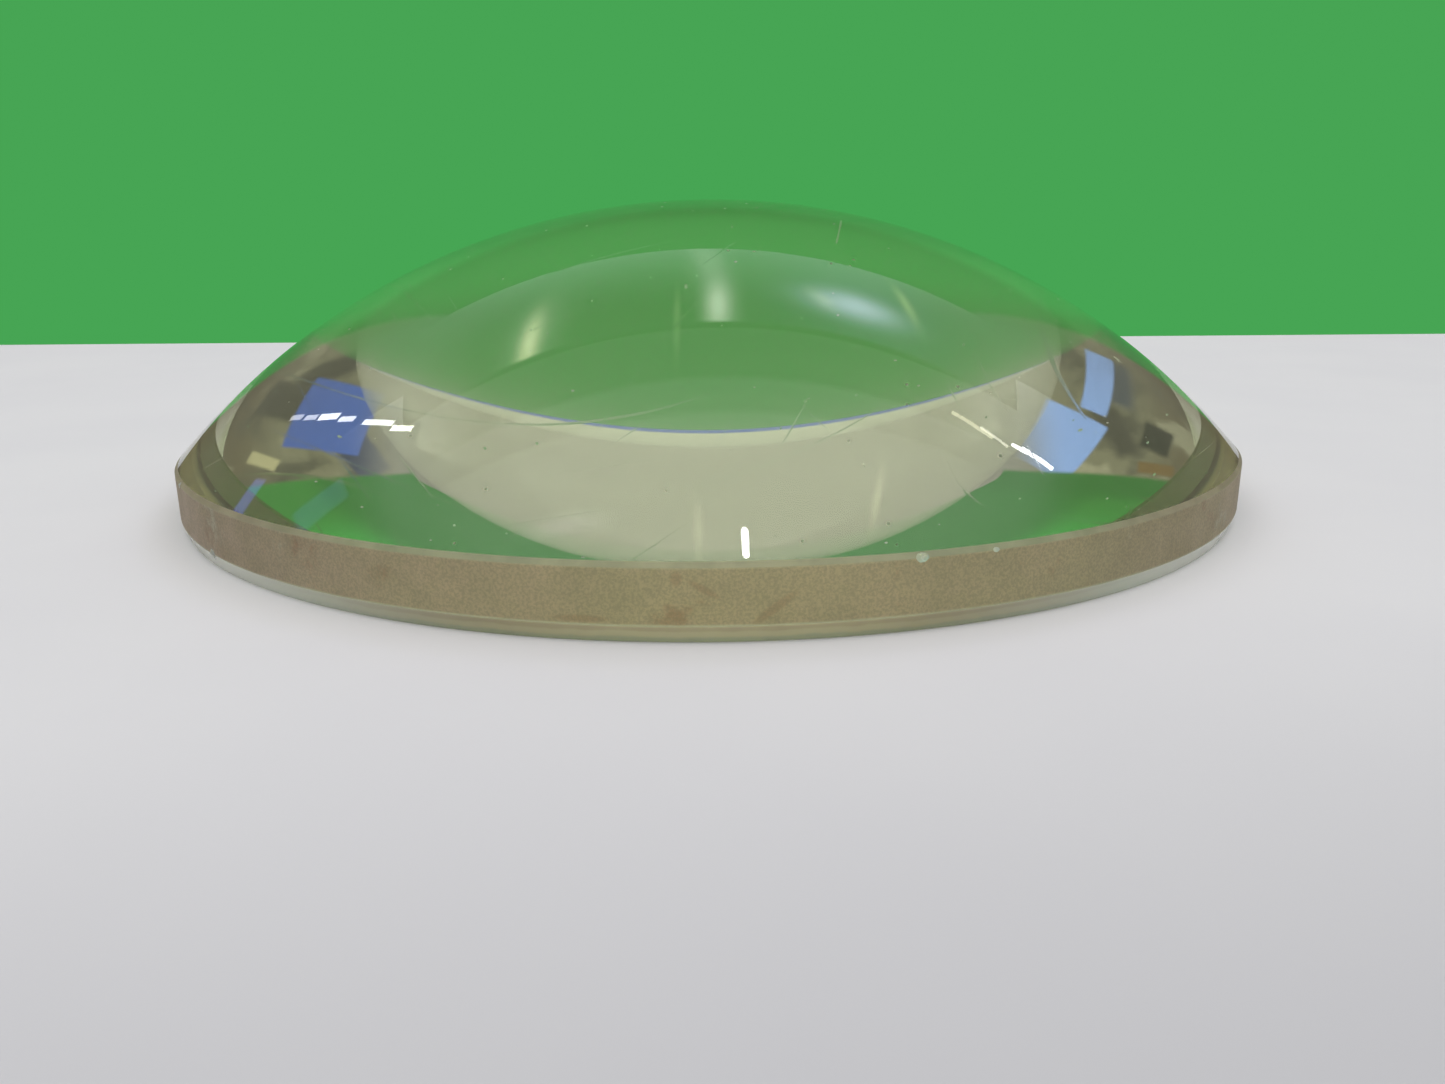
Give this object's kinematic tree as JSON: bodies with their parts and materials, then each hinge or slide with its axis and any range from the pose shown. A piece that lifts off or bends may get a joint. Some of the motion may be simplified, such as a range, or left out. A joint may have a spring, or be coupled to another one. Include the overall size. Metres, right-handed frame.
{
  "type": "plano-convex condenser lens",
  "caption": "Large round plano-convex glass lens, flat face down, with a ground edge and narrow bevels, for condensing or magnifying.",
  "frame": {"origin": "centre of the flat face, which is the face that the lens lies on", "axes": "+Z along the optical axis, from the flat face up through the top of the dome; the lens is round about Z, so X and Y are any two square directions in the flat face"},
  "size_m": [0.1016, 0.1016, 0.0276],
  "materials": {
    "optical_glass": "polished clear glass with a faint straw tint, fine-ground edge and bevels"
  },
  "bodies": {
    "root": {"lens": "optical_glass"}
  },
  "joints": []
}
